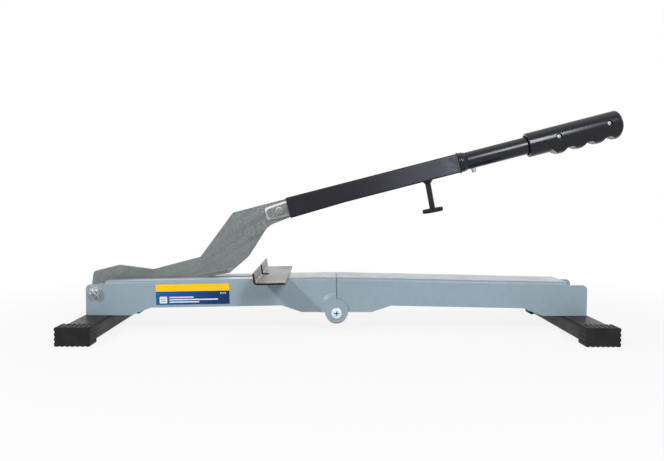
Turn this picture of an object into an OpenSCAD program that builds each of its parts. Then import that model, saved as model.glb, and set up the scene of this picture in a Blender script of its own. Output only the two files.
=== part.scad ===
// Folding laminate flooring cutter: a lever with a shearing blade on a two part sheet steel bed.
// X runs along the bed towards the handle, Y runs away from the front, Z is up from the floor.
// Bed sizes are measured from the fold hinge, lever sizes from the lever's pivot.

/* [Bed] */
// Width of the bed across its walls
bed_w = 65; // [58:1:80]
// Thickness of the bed's sheet steel
sheet_t = 2; // [1.5:0.1:2.5]
// Outside radius of the long bends along the top
bend_r = 4; // [3:0.5:6]
// Height of the bed's top above the floor at the seam
bed_top = 70.2; // [66:0.2:76]
// Angle at which each half falls away from the seam
crown = 1.08; // [0:0.02:1.5]
// Length of the cutting half from the hinge line to its end
left_len = 320.5; // [312:0.5:340]
// Length of the folding half from the hinge line to its end
right_len = 323; // [312:0.5:340]
// Distance from the hinge line to the end of the cutting half's top
left_top_end = 296; // [290:0.5:300]
// Distance from the hinge line to the end of the folding half's top
right_top_end = 297; // [285:0.5:300]
// Gap between the two halves at the seam
seam_gap = 0.4; // [0.3:0.1:1.2]
// Depth of the walls below the top in mid span
wall_depth = 35; // [30:0.5:40]
// Length of the deep part of a wall at the bed's end
deep_len = 57.5; // [50:0.5:65]
// Length of the slope that leads to a deep part
slope_len = 25; // [15:1:35]
// Length of the deep part beside the hinge
hinge_deep = 45; // [35:1:60]
// Height of the wall's lower edge beside the hinge
hinge_edge_z = 25.5; // [24.5:0.5:28]
// Height of the open ears at the bed's ends
ear_top = 60.5; // [58:0.5:62]
// Corner radius of these ears
ear_r = 6; // [2:0.5:10]
// Width of the turned in flanges that sit on the foot bars
flange_w = 15; // [12:0.5:20]

/* [Slot and fence] */
// Width of the blade slot in the top
slot_w = 8; // [6:0.5:12]
// Distance from the hinge line to the slot's inner end
slot_end = 94; // [88:0.5:98]
// Pitch of the teeth along the slot's front edge
tooth_pitch = 3.05; // [2.5:0.05:4]
// Depth of the notches between the teeth
tooth_depth = 6.5; // [2:0.5:8]
// Width of one notch
notch_w = 1.5; // [1:0.1:2]
// Length of the fence across the bed
fence_len = 193; // [160:1:220]
// Thickness of the fence plate
fence_t = 2.3; // [1.5:0.1:3]
// Distance from the hinge line to the fence's upright face
fence_face = 101.4; // [99:0.1:104]
// Width of the fence's foot along the bed
fence_foot = 39; // [36:0.5:50]
// Height of the fence's upright above the bed
fence_h = 13.7; // [10:0.1:20]
// Lean of the upright away from square
fence_lean = 8; // [0:1:12]
// Outside radius of the fence's bend
fence_bend = 4.5; // [3:0.5:6]
// Width of the gap that the blade passes
fence_slit = 17; // [10:1:20]
// Length of that gap into the fence's foot
slit_len = 12.5; // [12:0.5:16]
// Distance of the fence's studs from the middle
stud_y = 20; // [16:0.5:22]
// Distance of the studs from the edge of the fence's foot
stud_in = 15; // [10:0.5:20]
// Length of the short slot beside the seam
short_slot = 18; // [10:1:24]
// Distance from the seam to this slot
short_slot_x = 15; // [10:0.5:25]
// Width of this slot
short_slot_w = 3; // [2:0.1:4]
// Length of the side label
label_len = 93.8; // [60:0.2:110]
// Height of the side label
label_h = 26.3; // [20:0.1:27]
// Distance from the hinge line to the label's nearer end
label_start = 137.7; // [130:0.1:160]
// Distance of the label below the bed's top
label_drop = 5.3; // [5:0.1:7]

/* [Feet] */
// Length of a foot bar with its caps
foot_len = 245; // [200:1:300]
// Width of the foot bar's tube
tube_w = 36.5; // [32:0.1:38]
// Height of the foot bar's tube
tube_h = 19.05; // [18:0.05:21]
// Wall of the foot bar's tube
tube_wall = 1.6; // [1.2:0.1:2]
// Corner radius of the foot bar's tube
tube_r = 3.5; // [2:0.1:4]
// Distance from the bed's end back to the middle of the foot bar
foot_inset = 13.7; // [10:0.1:18]
// Width of a foot cap over its ribs
foot_cap_w = 41.6; // [41:0.1:46]
// Wall of the foot caps above and below the tube
cap_wall = 1.75; // [1.5:0.05:2.5]
// Depth of a cap's sleeve over the tube
cap_depth = 21; // [15:0.5:35]
// Thickness of a cap's closed end
cap_end = 2.5; // [1.5:0.1:4]
// Radius of the grooves between a cap's ribs
groove_r = 1.3; // [0.8:0.1:1.5]
// Radius of the rivets that hold a foot bar
rivet_r = 2.4; // [2:0.1:3]
// Distance between these rivets along the bed
rivet_gap = 20; // [16:0.5:22]

/* [Hinge and pivot] */
// Height of the hinge line above the floor
pin_z = 24.5; // [23:0.5:25]
// Radius of the hinge screw
hinge_r = 3; // [2.5:0.5:4]
// Radius of the cutting half's hinge ear
outer_ear_r = 15.1; // [14:0.1:17]
// Radius of the folding half's hinge ear
inner_ear_r = 14; // [12:0.5:15]
// Height of the outer ear's centre above the hinge line
ear_rise = 2.8; // [0:0.1:3]
// Radius at which the raised hinge disc starts
joggle_r = 23.8; // [22:0.2:26]
// Radius of the flat middle of that disc
disc_r = 19.6; // [18:0.2:21]
// Radius of the hinge screw's pan head
pan_r = 7.3; // [6:0.1:8]
// Distance from the bed's end back to the lever's pivot
pivot_inset = 12.7; // [10:0.1:14]
// Height of the lever's pivot above the floor
pivot_z = 50.9; // [49:0.1:52]
// Radius of the pivot bolt
pivot_r = 4; // [3:0.5:5]
// Width across the flats of the pivot nut
pivot_flats = 13; // [12:0.5:14]

/* [Blade] */
// Angle that the lever stands open at rest
lever_open = 11; // [0:0.5:50]
// Thickness of the blade plate
blade_t = 4; // [3:0.1:5]
// Depth of the cutting edge below the pivot with the lever closed
edge_drop = 11; // [8:0.5:13]
// Length of the cutting edge from the pivot
edge_len = 168; // [150:1:175]
// Height of the blade's heel above the pivot
heel_h = 25.1; // [20:0.1:28]
// Height of the ground bevel
bevel_h = 5; // [2:0.5:8]
// Distance from the pivot to the top of the heel
heel_x = 27.6; // [20:0.1:35]
// Distance from the pivot to the lowest place of the blade's back
waist_x = 70; // [60:0.5:80]
// Height of that place above the pivot
waist_h = 12.9; // [11:0.1:16]
// Distance from the pivot to the foot of the blade's neck
neck_x = 134.2; // [125:0.1:145]
// Height of that foot above the pivot
neck_h = 17.3; // [14:0.1:22]

/* [Lever arm] */
// Distance of the arm's centre line from the pivot
arm_lift = 43.3; // [40:0.1:48]
// Slope of the arm over the bed with the lever closed
arm_slope = 3.65; // [3:0.05:6]
// Distance along the arm from the pivot to its near end
arm_start = 263.6; // [258:0.2:275]
// Distance along the arm from the pivot to its far end
arm_end = 494; // [485:0.5:505]
// Width of the arm's square tube
arm_w = 25; // [22:0.2:27]
// Wall of the arm's square tube
arm_wall = 1.6; // [1.2:0.1:2]
// Height of the arm where it is pressed onto the blade
flare_h = 27.5; // [26:0.1:30]
// Distance by which the pressed end hangs below the arm's middle
flare_drop = 1.2; // [0:0.1:1.5]
// Width of the arm there
flare_w = 20; // [18:0.5:22]
// Length over which the arm is pressed
flare_len = 75; // [40:1:100]
// Distance by which the doubler plates stand out of the arm
doubler_reach = 30.8; // [26:0.1:36]
// Height of the doubler plates above the arm's middle at their tip
doubler_top = 6.4; // [5:0.1:8]
// Depth of the doubler plates below the arm's middle at their tip
doubler_low = 10.4; // [8:0.1:11]
// Length of the doubler plates
doubler_len = 70; // [60:1:80]
// Distance from the arm's near end back to the rivet
rivet_back = 12.2; // [8:0.1:16]
// Radius of the rivet's heads
rivet_head = 5.1; // [4:0.1:6]

/* [Stop] */
// Distance of the stop post from the pivot with the lever closed
stop_x = 447.3; // [430:0.5:460]
// Radius of the stop post
stop_r = 3.8; // [3:0.1:5]
// Radius of the stop's pad
pad_r = 13.6; // [10:0.2:16]
// Thickness of the stop's pad
pad_t = 5.2; // [3:0.1:6]
// Gap left under the pad with the lever closed
pad_gap = 0.5; // [0.3:0.1:1]

/* [Handle] */
// Length of the collar at the arm's end
collar_len = 12.5; // [10:0.5:18]
// Radius of the handle tube
handle_r = 11.5; // [10.5:0.1:12]
// Wall of the handle tube
handle_wall = 1.5; // [1:0.1:2]
// Length of the handle tube
handle_len = 203; // [180:1:240]
// Radial clearance between the handle tube and the stub inside it
stub_fit = 0.1; // [0.05:0.05:0.3]
// Wall of the stub
stub_wall = 1.5; // [1:0.1:2]
// Length of the stub beyond the collar
stub_len = 82; // [60:1:100]
// Depth of the stub inside the arm
stub_depth = 42; // [30:1:60]
// Distance from the handle tube's end to the snap button
button_s = 6.5; // [6:0.1:12]
// Radius of the snap button
button_r = 3.1; // [2:0.1:4]
// Height of the snap button above the tube
button_h = 5.5; // [3:0.1:6]
// Distance that the snap button can be pressed in
button_travel = 4; // [3:0.1:5]
// Length of the leaf that carries the button
leaf_len = 34; // [30:1:45]

/* [Grip] */
// Distance from the handle tube's end to the grip
grip_start = 81.6; // [75:0.2:90]
// Length of the grip
grip_len = 126.5; // [120:0.5:140]
// Radius of the grip
grip_r = 16; // [15:0.1:18]
// Rounding of the grip's closed end
grip_round = 6; // [4:0.5:12]
// Rounding of the last ridge at that end
ridge_round = 12; // [10:0.5:14]
// Height of the ridges between the fingers
ridge_h = 4.9; // [3:0.1:6]
// Half width of a ridge at its foot
ridge_w = 9.2; // [8:0.1:10.5]
// Half width of a ridge at its tip
ridge_tip = 3.4; // [2:0.1:5]
// Rounding of a ridge's tip and foot, seen from the side
ridge_bend = 4; // [2:0.1:4]
// Half width of the grip's lower part, across
ridge_side = 13; // [11:0.1:15]
// Rounding of the lower part's edges, seen from the end
ridge_corner = 10.5; // [6:0.1:12]
// Depth of the finger hollows above the grip's round underside
ridge_cut = 0.4; // [0.2:0.1:1]
// Number of ridges
ridge_n = 4; // [2:1:4]
// Distance between ridges
ridge_pitch = 25.8; // [24:0.1:27]
// Distance from the grip's closed end to the last ridge
ridge_end = 9.6; // [9:0.1:18]
// Distance from the grip's open end to the first screw
screw_a = 39.9; // [30:0.1:50]
// Distance from the grip's open end to the second screw
screw_b = 107.4; // [95:0.1:115]
// Height of the screws above the grip's middle
screw_rise = 1.2; // [-2:0.1:2]
// Radius of the grip's screws
screw_r = 2; // [1.5:0.1:2.5]

/* [Hidden] */
$fn = 64;

// Clearances
eps = 0.01;
shank_fit = 0.05;      // radial, between a shank and a hole that turns on it
hole_fit = 0.15;       // radial, between a shank and a hole that does not turn
face_gap = 0.3;        // between flat faces that slide past each other
cap_fit = 0.05;        // between a foot bar and its cap
over = 1;              // length by which a cutter passes through a face
label_t = 0.25;

// Bed
wall_y = bed_w / 2;
inner_y = wall_y - sheet_t;
joggle = sheet_t + 0.4;
ear_y = wall_y + joggle;
disc_z = pin_z + ear_rise;
tube_z = cap_wall + cap_fit;
foot_top = tube_z + tube_h;
foot_cap_h = tube_h + 2 * (cap_wall + cap_fit);
left_foot_x = left_len - foot_inset;
right_foot_x = right_len - foot_inset;
function top_at(u) = bed_top - u * tan(crown);

// Pivot and lever
pivot_x = -(left_len - pivot_inset);
spacer_r = pivot_r + 2.2;
spacer_gap = 1.6;
pivot_washer_r = 2 * pivot_r;
pivot_washer_t = 1.4;
pivot_nut_h = 8;
grip_s = arm_end + collar_len + grip_start;
tube_s = arm_end + collar_len;
tilt = lever_open + arm_slope;
// A point of the arm, given along and across it, in the closed lever's frame
function arm_pt(s, z) = [s * cos(arm_slope) - (arm_lift + z) * sin(arm_slope),
    s * sin(arm_slope) + (arm_lift + z) * cos(arm_slope)];

// Whole object: the grip's rounded corner reaches furthest right, the foot cap furthest left
grip_tip_x = pivot_x + (grip_s + grip_len - grip_round) * cos(tilt) - arm_lift * sin(tilt)
    + (grip_r - grip_round) * sin(tilt) + grip_round;
left_tip_x = -(left_foot_x + foot_cap_w / 2);
right_tip_x = max(grip_tip_x, right_foot_x + foot_cap_w / 2);
origin_x = (left_tip_x + right_tip_x) / 2;

// Colours
paint = "#90a2ad";
steel = "#b9bdbf";
galvanised = "#7e8482";
black = "#302f33";
rubber = "#2a2a2c";
fence_grey = "#a9a7a3";

// Outlines with rounded corners: each point is [x, y, radius]
function unit(v) = v / norm(v);
function corner(a, b, c, r, n) = r <= 0 ? [b] :
    let (u = unit(a - b), w = unit(c - b), half = acos(u * w) / 2,
        o = b + unit(u + w) * r / sin(half),
        p = b + u * r / tan(half) - o, q = b + w * r / tan(half) - o,
        a0 = atan2(p[1], p[0]), d = atan2(q[1], q[0]) - a0,
        turn = d > 180 ? d - 360 : d < -180 ? d + 360 : d)
    [for (i = [0:n]) o + r * [cos(a0 + turn * i / n), sin(a0 + turn * i / n)]];
function flat2(p) = [p[0], p[1]];
function rounded(pts, n = 8) = let (k = len(pts))
    [for (i = [0:k - 1]) each corner(flat2(pts[(i + k - 1) % k]), flat2(pts[i]),
        flat2(pts[(i + 1) % k]), pts[i][2], n)];

// Placing helpers
module side_slab(y_lo, y_hi) {
    translate([0, y_hi, 0]) rotate([90, 0, 0]) linear_extrude(y_hi - y_lo) children();
}
module y_rod(r, y_lo, y_hi, r_hi = -1) {
    translate([0, y_lo, 0]) rotate([-90, 0, 0])
        cylinder(r1 = r, r2 = r_hi < 0 ? r : r_hi, h = y_hi - y_lo);
}
module both_sides() {
    children();
    mirror([0, 1, 0]) children();
}
module place() { translate([-origin_x, 0, 0]) children(); }
module left_side() { place() mirror([1, 0, 0]) children(); }
module at_pivot() { place() translate([pivot_x, 0, pivot_z]) children(); }
module lever() { at_pivot() rotate([0, -lever_open, 0]) children(); }
module arm() { at_pivot() rotate([0, -tilt, 0]) translate([0, 0, arm_lift]) children(); }
module hex(flats, h) { cylinder(r = flats / sqrt(3), h = h, $fn = 6); }

// Bed halves, drawn from the hinge line outwards along +X
module bed_section() {
    outer = rounded([[-wall_y, -bed_top, 0], [-wall_y, 0, bend_r], [wall_y, 0, bend_r],
        [wall_y, -bed_top, 0]]);
    inner = rounded([[-inner_y, -bed_top - over, 0], [-inner_y, -sheet_t, bend_r - sheet_t],
        [inner_y, -sheet_t, bend_r - sheet_t], [inner_y, -bed_top - over, 0]]);
    difference() {
        polygon(outer);
        polygon(inner);
    }
}
module bed_side(len, top_end) {
    slope_in = len - deep_len - slope_len;
    slope_hinge = hinge_deep + slope_len;
    polygon(rounded([[seam_gap / 2, hinge_edge_z, 0], [hinge_deep, hinge_edge_z, 6],
        [slope_hinge, top_at(slope_hinge) - wall_depth, 6], [slope_in, top_at(slope_in) - wall_depth, 5],
        [len - deep_len, foot_top, 4], [len, foot_top, 0], [len, ear_top, ear_r],
        [top_end, ear_top, 0], [top_end, bed_top + over, 0], [seam_gap / 2, bed_top + over, 0]]));
}
module bed_channel(len, top_end) {
    intersection() {
        translate([0, 0, bed_top]) rotate([0, crown, 0]) translate([-over, 0, 0])
            rotate([90, 0, 90]) linear_extrude(len + 2 * over) bed_section();
        side_slab(-wall_y - over, wall_y + over) bed_side(len, top_end);
    }
}
module foot_flanges(len) {
    both_sides() translate([len - deep_len + 6, -wall_y, foot_top])
        cube([deep_len - 6, flange_w, sheet_t]);
}
module rivet_spots(foot_x) {
    for (dx = [-rivet_gap / 2, rivet_gap / 2], s = [-1, 1])
        translate([foot_x + dx, s * (wall_y - flange_w / 2), foot_top]) children();
}
module rivet_holes(foot_x) {
    rivet_spots(foot_x) translate([0, 0, -over]) cylinder(r = rivet_r + hole_fit, h = sheet_t + 2 * over);
}

// Cutting half
slot_floor = top_at(left_top_end) - sheet_t - over;
module slot_outline() {
    n = floor((left_top_end - slot_end) / tooth_pitch);
    translate([slot_end, -slot_w / 2]) square([left_top_end - slot_end + over, slot_w]);
    for (i = [0:n - 1]) translate([slot_end + (i + 0.5) * tooth_pitch, -slot_w / 2 - tooth_depth])
        square([notch_w, tooth_depth + eps]);
}
module raised_disc() {
    // The wall is pressed outwards round the hinge, so that this half's ear laps over the other's
    translate([0, 0, disc_z]) {
        y_rod(joggle_r, inner_y, wall_y);
        y_rod(joggle_r, wall_y, ear_y, disc_r);
    }
}
module left_bed() {
    color(paint) left_side() difference() {
        union() {
            difference() {
                union() {
                    bed_channel(left_len, left_top_end);
                    both_sides() intersection() {
                        raised_disc();
                        side_slab(inner_y, ear_y + over) bed_side(left_len, left_top_end);
                    }
                }
                both_sides() translate([0, 0, disc_z])
                    y_rod(joggle_r, inner_y - eps, ear_y - sheet_t, disc_r);
            }
            both_sides() translate([0, 0, disc_z]) y_rod(outer_ear_r, ear_y - sheet_t, ear_y);
            foot_flanges(left_len);
        }
        translate([0, 0, slot_floor]) linear_extrude(bed_top + over - slot_floor) slot_outline();
        translate([0, 0, pin_z]) y_rod(hinge_r + hole_fit, -ear_y - over, ear_y + over);
        translate([-pivot_x, 0, pivot_z]) y_rod(pivot_r + hole_fit, -wall_y - over, wall_y + over);
        for (s = [-1, 1]) translate([stud_x, s * stud_y, bed_top - bend_r - over])
            cylinder(r = stud_r + hole_fit * 2, h = bend_r + 2 * over);
        rivet_holes(left_foot_x);
    }
}

// Folding half
module right_bed() {
    color(paint) place() difference() {
        union() {
            bed_channel(right_len, right_top_end);
            both_sides() translate([0, 0, pin_z]) y_rod(inner_ear_r, inner_y, wall_y);
            foot_flanges(right_len);
        }
        translate([0, 0, pin_z]) y_rod(hinge_r + shank_fit, -wall_y - over, wall_y + over);
        translate([short_slot_x, -short_slot_w / 2, bed_top - bend_r])
            cube([short_slot, short_slot_w, bend_r + over]);
        rivet_holes(right_foot_x);
    }
}

// Foot bars, caps and rivets
module foot_bar(foot_x) {
    length = foot_len - 2 * cap_end;
    far_x = tube_w - tube_wall;
    far_z = tube_h - tube_wall;
    inner = tube_r - tube_wall;
    difference() {
        translate([foot_x - tube_w / 2, 0, tube_z]) side_slab(-length / 2, length / 2)
            difference() {
                polygon(rounded([[0, 0, tube_r], [tube_w, 0, tube_r], [tube_w, tube_h, tube_r],
                    [0, tube_h, tube_r]]));
                polygon(rounded([[tube_wall, tube_wall, inner], [far_x, tube_wall, inner],
                    [far_x, far_z, inner], [tube_wall, far_z, inner]]));
            }
        rivet_spots(foot_x) translate([0, 0, -tube_wall - over])
            cylinder(r = rivet_r + hole_fit, h = tube_wall + 2 * over);
    }
}
module cap_grooves(length, count) {
    for (i = [1:count - 1]) translate([(i - count / 2) * length / count, groove_r / 4])
        circle(r = groove_r);
}
cap_ribs_across = 7;
cap_ribs_up = 4;
module cap_outline() {
    w = foot_cap_w;
    h = foot_cap_h;
    difference() {
        polygon(rounded([[-w / 2, 0, 2], [w / 2, 0, 2], [w / 2, h, 2], [-w / 2, h, 2]]));
        translate([0, h]) cap_grooves(w, cap_ribs_across);
        mirror([0, 1]) cap_grooves(w, cap_ribs_across);
        translate([w / 2, h / 2]) rotate(-90) cap_grooves(h, cap_ribs_up);
        translate([-w / 2, h / 2]) rotate(90) cap_grooves(h, cap_ribs_up);
    }
}
module foot_cap(foot_x) {
    front = -foot_len / 2;
    translate([foot_x, 0, 0]) difference() {
        side_slab(front, front + cap_end + cap_depth) cap_outline();
        translate([-tube_w / 2 - cap_fit, front + cap_end, cap_wall])
            cube([tube_w + 2 * cap_fit, cap_depth + over, tube_h + 2 * cap_fit]);
    }
}
module foot_rivets(foot_x) {
    low = -tube_wall - eps;
    high = sheet_t + eps;
    color(steel) rivet_spots(foot_x) rotate_extrude() polygon([[0, low - rivet_r],
        [1.3 * rivet_r, low - 0.8 * rivet_r], [1.3 * rivet_r, low], [rivet_r, low],
        [rivet_r, high], [2 * rivet_r, high], [1.6 * rivet_r, high + 0.6 * rivet_r],
        [0, high + 0.75 * rivet_r]]);
}
module left_foot_bar() { color(black) left_side() foot_bar(left_foot_x); }
module left_front_foot_cap() { color(rubber) left_side() foot_cap(left_foot_x); }
module left_rear_foot_cap() { color(rubber) left_side() mirror([0, 1, 0]) foot_cap(left_foot_x); }
module left_foot_rivets() { left_side() foot_rivets(left_foot_x); }
module right_foot_bar() { color(black) place() foot_bar(right_foot_x); }
module right_front_foot_cap() { color(rubber) place() foot_cap(right_foot_x); }
module right_rear_foot_cap() { color(rubber) place() mirror([0, 1, 0]) foot_cap(right_foot_x); }
module right_foot_rivets() { place() foot_rivets(right_foot_x); }

// Fence with its two welded studs, in the plane of the cutting half's top
stud_r = 3;
stud_len = 13;
stud_x = fence_face - fence_foot + stud_in;
module on_left_top() {
    left_side() translate([0, 0, bed_top]) rotate([0, crown, 0]) children();
}
module fence_profile() {
    lean = (fence_h - fence_bend) * tan(fence_lean);
    inner_bend = fence_bend - fence_t;
    face = fence_face - lean;
    polygon(rounded([[fence_face - fence_foot, 0, 0], [face, 0, fence_bend], [fence_face, fence_h, 0],
        [fence_face - fence_t / cos(fence_lean), fence_h, 0],
        [face - fence_t, fence_t, inner_bend], [fence_face - fence_foot, fence_t, 0]]));
}
module fence() {
    color(fence_grey) on_left_top() {
        difference() {
            side_slab(-fence_len / 2, fence_len / 2) fence_profile();
            translate([fence_face - slit_len, -fence_slit / 2, -over])
                cube([slit_len + over, fence_slit, fence_h + 2 * over]);
        }
        for (s = [-1, 1]) translate([stud_x, s * stud_y, -stud_len])
            cylinder(r = stud_r, h = stud_len + fence_t / 2);
    }
}
module fence_nuts() {
    nut_h = 5.5;
    color(steel) on_left_top() for (s = [-1, 1])
        translate([stud_x, s * stud_y, -sheet_t - nut_h]) difference() {
            union() {
                hex(10, nut_h);
                translate([0, 0, nut_h - 1.2]) cylinder(r = 6.8, h = 1.2);
            }
            translate([0, 0, -over]) cylinder(r = stud_r + shank_fit, h = nut_h + 2 * over);
        }
}
module side_label() {
    color("#0b5fb5") on_left_top()
        translate([label_start, -wall_y - label_t, -label_drop - label_h])
            cube([label_len, label_t, label_h]);
}

// Hinge screw: pan head in front, lock nut behind, spacer tube between the ears
hinge_nut_h = 6;
hinge_washer_t = 1.2;
module at_hinge() { place() translate([0, 0, pin_z]) children(); }
module cross_recess(size, depth) {
    for (a = [0, 90]) rotate([0, 0, a]) cube([size, size / 4, 2 * depth], center = true);
}
module hinge_screw() {
    head_h = 3.2;
    color(steel) at_hinge() {
        difference() {
            translate([0, -ear_y, 0]) rotate([90, 0, 0]) rotate_extrude() polygon(rounded(
                [[0, 0, 0], [pan_r, 0, 0], [pan_r, head_h, 2.4], [0, head_h + 0.5, 0]]));
            translate([0, -ear_y - head_h - 0.5, 0]) rotate([90, 0, 0]) cross_recess(6, 2);
        }
        y_rod(hinge_r, -ear_y, ear_y + hinge_washer_t + hinge_nut_h + 2);
    }
}
module hinge_spacer() {
    reach = inner_y - face_gap;
    color(steel) at_hinge() difference() {
        y_rod(2 * hinge_r, -reach, reach);
        y_rod(hinge_r + shank_fit, -reach - over, reach + over);
    }
}
module hinge_washer() {
    color(steel) at_hinge() difference() {
        y_rod(pan_r - 0.8, ear_y, ear_y + hinge_washer_t);
        y_rod(hinge_r + shank_fit, ear_y - over, ear_y + hinge_washer_t + over);
    }
}
module lock_nut(flats, hole, h) {
    // A hexagon with a round collar that holds the locking ring
    difference() {
        union() {
            hex(flats, h * 0.68);
            rotate_extrude() polygon(rounded([[0, 0, 0], [flats / 2 - 0.4, 0, 0],
                [flats / 2 - 0.4, h, 1.5], [0, h, 0]]));
        }
        translate([0, 0, -over]) cylinder(r = hole + shank_fit, h = h + 2 * over);
    }
}
module hinge_nut() {
    color(steel) at_hinge() translate([0, ear_y + hinge_washer_t, 0]) rotate([-90, 0, 0])
        lock_nut(10, hinge_r, hinge_nut_h);
}

// Pivot: bolt head behind, washers, spacer sleeves beside the blade, lock nut in front
module pivot_bolt() {
    back = wall_y + pivot_washer_t;
    front = -back - pivot_nut_h - 2.5;
    color(steel) at_pivot() {
        y_rod(pivot_r, front + 0.8, back);
        y_rod(pivot_r - 0.8, front, front + 0.8, pivot_r);
        translate([0, back, 0]) rotate([-90, 0, 0]) intersection() {
            hex(pivot_flats, 5.3);
            cylinder(r1 = 10, r2 = pivot_flats / 2 + 0.2, h = 5.3);
        }
    }
}
module pivot_washers() {
    color(steel) at_pivot() both_sides() difference() {
        y_rod(pivot_washer_r, wall_y, wall_y + pivot_washer_t);
        y_rod(pivot_r + shank_fit, wall_y - over, wall_y + pivot_washer_t + over);
    }
}
module pivot_spacers() {
    color(steel) at_pivot() both_sides() difference() {
        y_rod(spacer_r, blade_t / 2 + spacer_gap + face_gap, inner_y);
        y_rod(pivot_r + shank_fit, blade_t / 2, inner_y + over);
    }
}
module blade_washers() {
    color("#e8e6df") at_pivot() both_sides() difference() {
        y_rod(pivot_washer_r, blade_t / 2 + face_gap, blade_t / 2 + face_gap + spacer_gap);
        y_rod(pivot_r + shank_fit, 0, blade_t / 2 + spacer_gap + over);
    }
}
module pivot_nut() {
    color(steel) at_pivot() translate([0, -wall_y - pivot_washer_t, 0]) rotate([90, 0, 0])
        rotate(12) lock_nut(pivot_flats, pivot_r, pivot_nut_h);
}

// Blade plate, in the closed lever's frame
tang_low = 11.2;
tang_top = 10.6;
shoulder_top = 11.2;
shoulder_low = 13.6;
tang_len = 42;
module blade_outline() {
    tang_end = arm_start + tang_len;
    shoulder = arm_start - 0.5;
    polygon(rounded([[-13, -edge_drop, 7], [edge_len, -edge_drop, 3], [edge_len + 29, 5.8, 20],
        [edge_len + 61.8, 40.65, 25], concat(arm_pt(shoulder, -shoulder_low), 1),
        concat(arm_pt(shoulder, -tang_low), 0), concat(arm_pt(tang_end, -tang_low), 2),
        concat(arm_pt(tang_end, tang_top), 2), concat(arm_pt(shoulder, tang_top), 0),
        concat(arm_pt(shoulder, shoulder_top), 0), concat(arm_pt(arm_start - 72, shoulder_top), 6),
        [neck_x, neck_h, 5], [waist_x, waist_h, 12], [heel_x, heel_h + 1.9, 8], [-7.4, heel_h, 5.5],
        [-15.2, 3, 8]]));
}
module blade() {
    color(galvanised) lever() difference() {
        side_slab(-blade_t / 2, blade_t / 2) blade_outline();
        y_rod(pivot_r + shank_fit, -blade_t, blade_t);
        translate([-20, -blade_t / 2, -edge_drop]) rotate([90, 0, 90]) linear_extrude(edge_len + 18)
            polygon([[-over, -over], [blade_t * 0.75, -over], [-over, bevel_h * 1.35]]);
        rotate([0, -arm_slope, 0]) translate([rivet_s, 0, arm_lift + rivet_z])
            y_rod(doubler_rivet_r + shank_fit, -blade_t, blade_t);
    }
}

// Doubler plates: pressed dishes that fill the arm on both sides of the blade
doubler_rivet_r = 3;
rivet_z = -1.8;
doubler_t = flare_w / 2 - arm_wall - blade_t / 2 - 0.05;
rivet_s = arm_start - rivet_back;
doubler_start = arm_start - doubler_reach;
doubler_end = doubler_start + doubler_len;
doubler_corner = 4;
doubler_bevel = 3;
function doubler_outline(inset) = let (tip = doubler_start + inset, low = -doubler_low - 1 + inset)
    [[tip, -doubler_low + inset, doubler_corner], [tip, doubler_top - inset, doubler_corner],
    [arm_start, doubler_top + 2.4 - inset, 0], [doubler_end, doubler_top + 2.4 - inset, 0],
    [doubler_end, low, 0], [arm_start, low, 0]];
module doubler() {
    flat_t = doubler_t - doubler_bevel;
    difference() {
        hull() {
            side_slab(-blade_t / 2 - flat_t, -blade_t / 2) polygon(rounded(doubler_outline(0), 6));
            side_slab(-blade_t / 2 - doubler_t, -blade_t / 2 - doubler_t + eps)
                polygon(rounded(doubler_outline(doubler_bevel * 0.85), 6));
        }
        translate([rivet_s, 0, rivet_z]) y_rod(doubler_rivet_r + shank_fit, -arm_w, 0);
    }
}
module front_doubler() { color(galvanised) arm() doubler(); }
module rear_doubler() { color(galvanised) arm() mirror([0, 1, 0]) doubler(); }
module doubler_rivet() {
    face = blade_t / 2 + doubler_t;
    color(steel) arm() translate([rivet_s, 0, rivet_z]) {
        y_rod(doubler_rivet_r, -face, face);
        both_sides() y_rod(rivet_head, face, face + 2, rivet_head - 1.2);
    }
}

// Square arm, pressed narrower and taller where it holds the blade
module arm_ring(s, w, h, t, drop = 0) {
    translate([s, 0, -drop]) rotate([90, 0, 90]) linear_extrude(t)
        polygon(rounded([[-w / 2, -h / 2, 2.5], [w / 2, -h / 2, 2.5], [w / 2, h / 2, 2.5],
            [-w / 2, h / 2, 2.5]], 4));
}
module arm_body(cut) {
    // cut is 0 for the outside and the wall's thickness for the inside
    join = arm_start + flare_len;
    near = cut > 0 ? arm_start - over : arm_start;
    hull() {
        arm_ring(near, flare_w - 2 * cut, flare_h - 2 * cut, eps, flare_drop);
        arm_ring(join, arm_w - 2 * cut, arm_w - 2 * cut, eps);
    }
    arm_ring(join, arm_w - 2 * cut, arm_w - 2 * cut, arm_end - join + (cut > 0 ? over : 0));
}
module handle_arm() {
    color(black) arm() difference() {
        arm_body(0);
        arm_body(arm_wall);
    }
}

// Collar welded to the arm's end, round the stub
stub_r = handle_r - handle_wall - stub_fit;
module along_arm(s) { translate([s, 0, 0]) rotate([0, 90, 0]) children(); }
module arm_collar() {
    full = arm_w / 2 + 0.5;
    bore = stub_r + shank_fit;
    color(black) arm() along_arm(arm_end) rotate_extrude() polygon([[bore, 0], [full - 0.8, 0],
        [full + 0.2, 1], [full - 0.2, 2.2], [full - 0.4, 3], [full, 4.2], [full, collar_len - 5.5],
        [handle_r + 0.4, collar_len - 1.5], [handle_r - 0.3, collar_len - 0.4], [bore, collar_len - 0.4]]);
}
module handle_stub() {
    color(black) arm() difference() {
        along_arm(arm_end - stub_depth) difference() {
            cylinder(r = stub_r, h = stub_depth + collar_len + stub_len);
            translate([0, 0, -over])
                cylinder(r = stub_r - stub_wall, h = stub_depth + collar_len + stub_len + 2 * over);
        }
        translate([tube_s + button_s, 0, -stub_r - over])
            cylinder(r = button_r + hole_fit, h = stub_wall + 2 * over);
    }
}

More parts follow.
